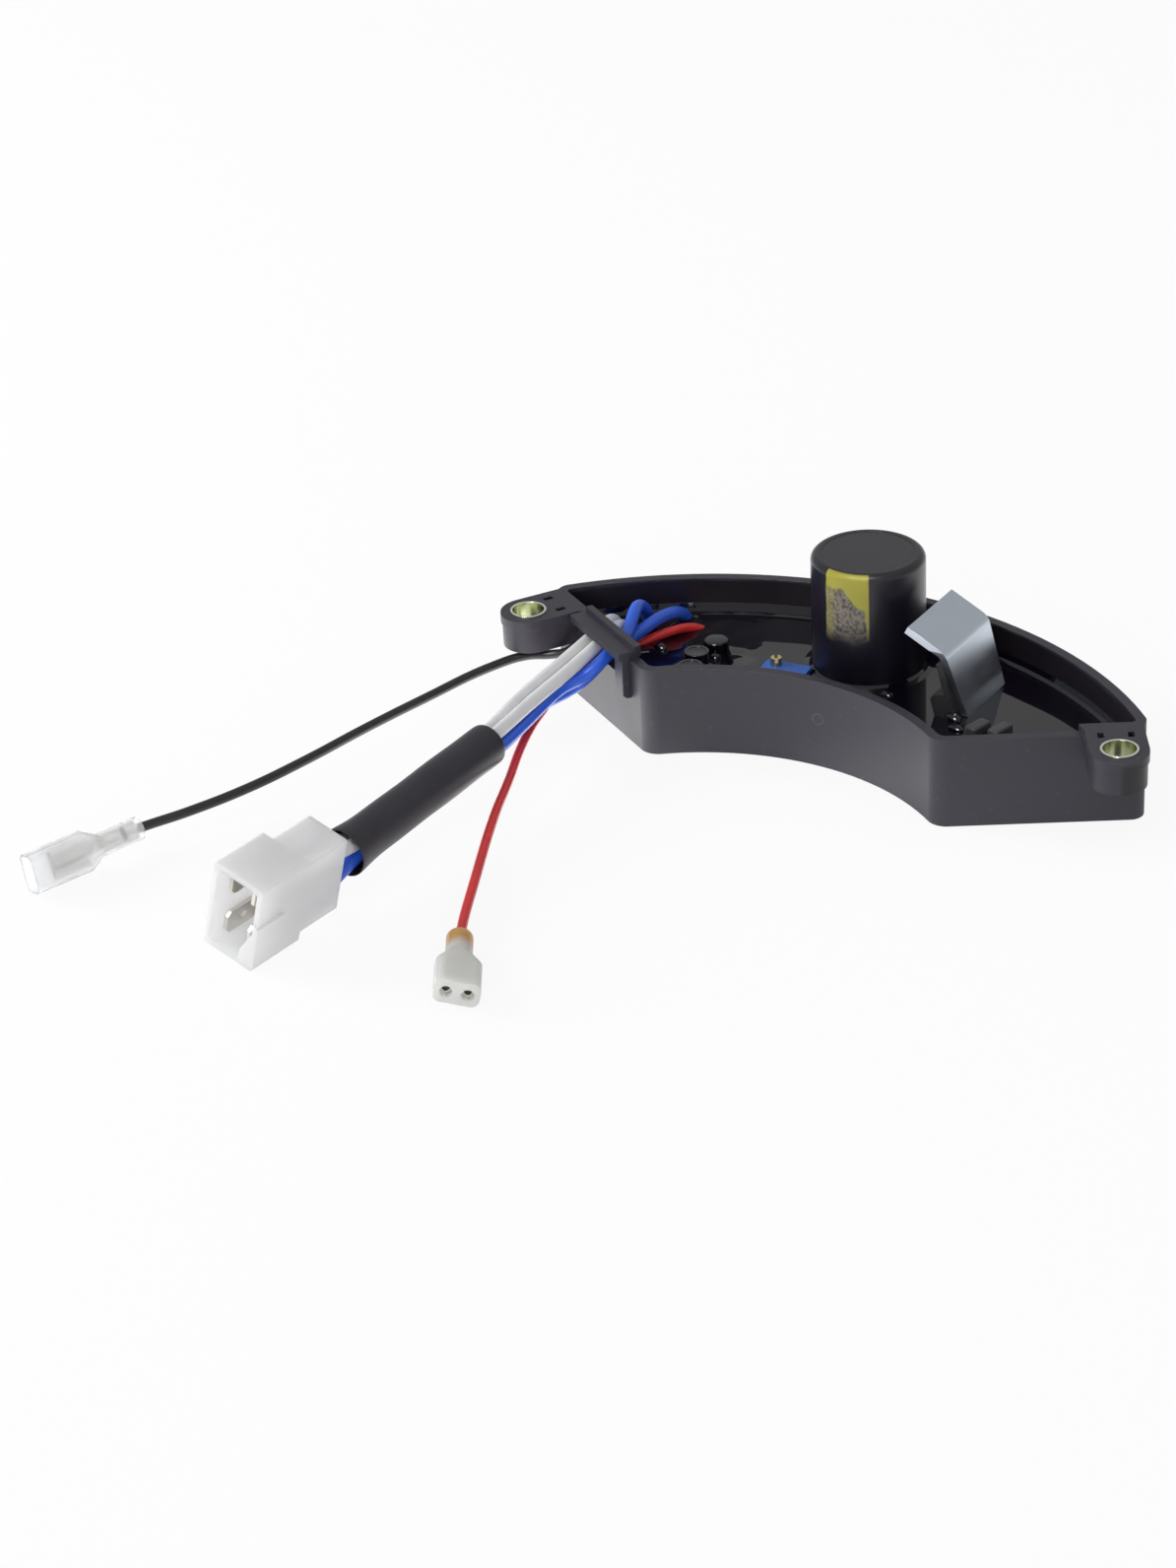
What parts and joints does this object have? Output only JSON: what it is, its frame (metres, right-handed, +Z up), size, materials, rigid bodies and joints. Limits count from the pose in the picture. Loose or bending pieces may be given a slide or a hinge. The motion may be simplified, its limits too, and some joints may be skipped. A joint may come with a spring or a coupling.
{
  "type": "automatic voltage regulator",
  "caption": "Crescent-shaped potted voltage regulator for a portable generator, with mounting ears, a capacitor, a trimmer, a heat sink and a harness of leads.",
  "frame": {"origin": "middle of the tray's footprint, in the plane of its base", "axes": "+X along the line of the two mounting holes, +Y from the hollow front to the bulging back, +Z up from the base to the open top"},
  "size_m": [0.1799, 0.1554, 0.0372],
  "materials": {
    "case": "satin moulded charcoal",
    "bush": "yellow passivated zinc",
    "board": "green laminate",
    "resin": "glossy cast resin",
    "can": "drawn",
    "sleeve": "satin shrunk film",
    "disc": "satin",
    "seal": "matt",
    "tinned": "tinned",
    "trimmer": "satin",
    "brass": "turned",
    "sink": "bright rolled sheet",
    "black_moulding": "moulded",
    "resistor": "lacquered",
    "white_wire": "satin insulation",
    "blue_wire": "satin insulation",
    "red_wire": "satin insulation",
    "black_wire": "satin insulation",
    "harness": "soft film",
    "nylon": "milky moulded nylon",
    "cover": "milky moulded nylon",
    "clear": "clear soft film"
  },
  "bodies": {
    "regulator": {"case": "case", "cable_clip": "case", "mount_bushes": "bush", "circuit_board": "board", "potting": "resin", "capacitor_can": "can", "capacitor_sleeve": "sleeve", "capacitor_disc": "disc", "capacitor_seal": "seal", "capacitor_pins": "tinned", "trimmer_pins": "tinned", "transistor_frame": "tinned", "connector_blades": "tinned", "red_receptacle": "tinned", "black_receptacle": "tinned", "trimmer_body": "trimmer", "heat_sink": "sink", "transistor_body": "black_moulding", "small_capacitors": "black_moulding", "film_capacitors": "black_moulding", "rectifier_diodes": "black_moulding", "resistors": "resistor", "white_wire_a": "white_wire", "white_wire_b": "white_wire", "blue_wire_a": "blue_wire", "blue_wire_b": "blue_wire", "red_lead": "red_wire", "black_lead": "black_wire", "harness_sleeve": "harness", "connector_housing": "nylon", "red_cover": "cover", "black_cover": "clear"},
    "trimmer_screw": {"trimmer_screw": "brass"}
  },
  "joints": [
    {"name": "trimmer_turn", "type": "hinge", "parent": "regulator", "child": "trimmer_screw", "pos_m": [-0.01492, -0.00343, 0.0138], "axis": [0, 0, 1], "continuous": true}
  ]
}
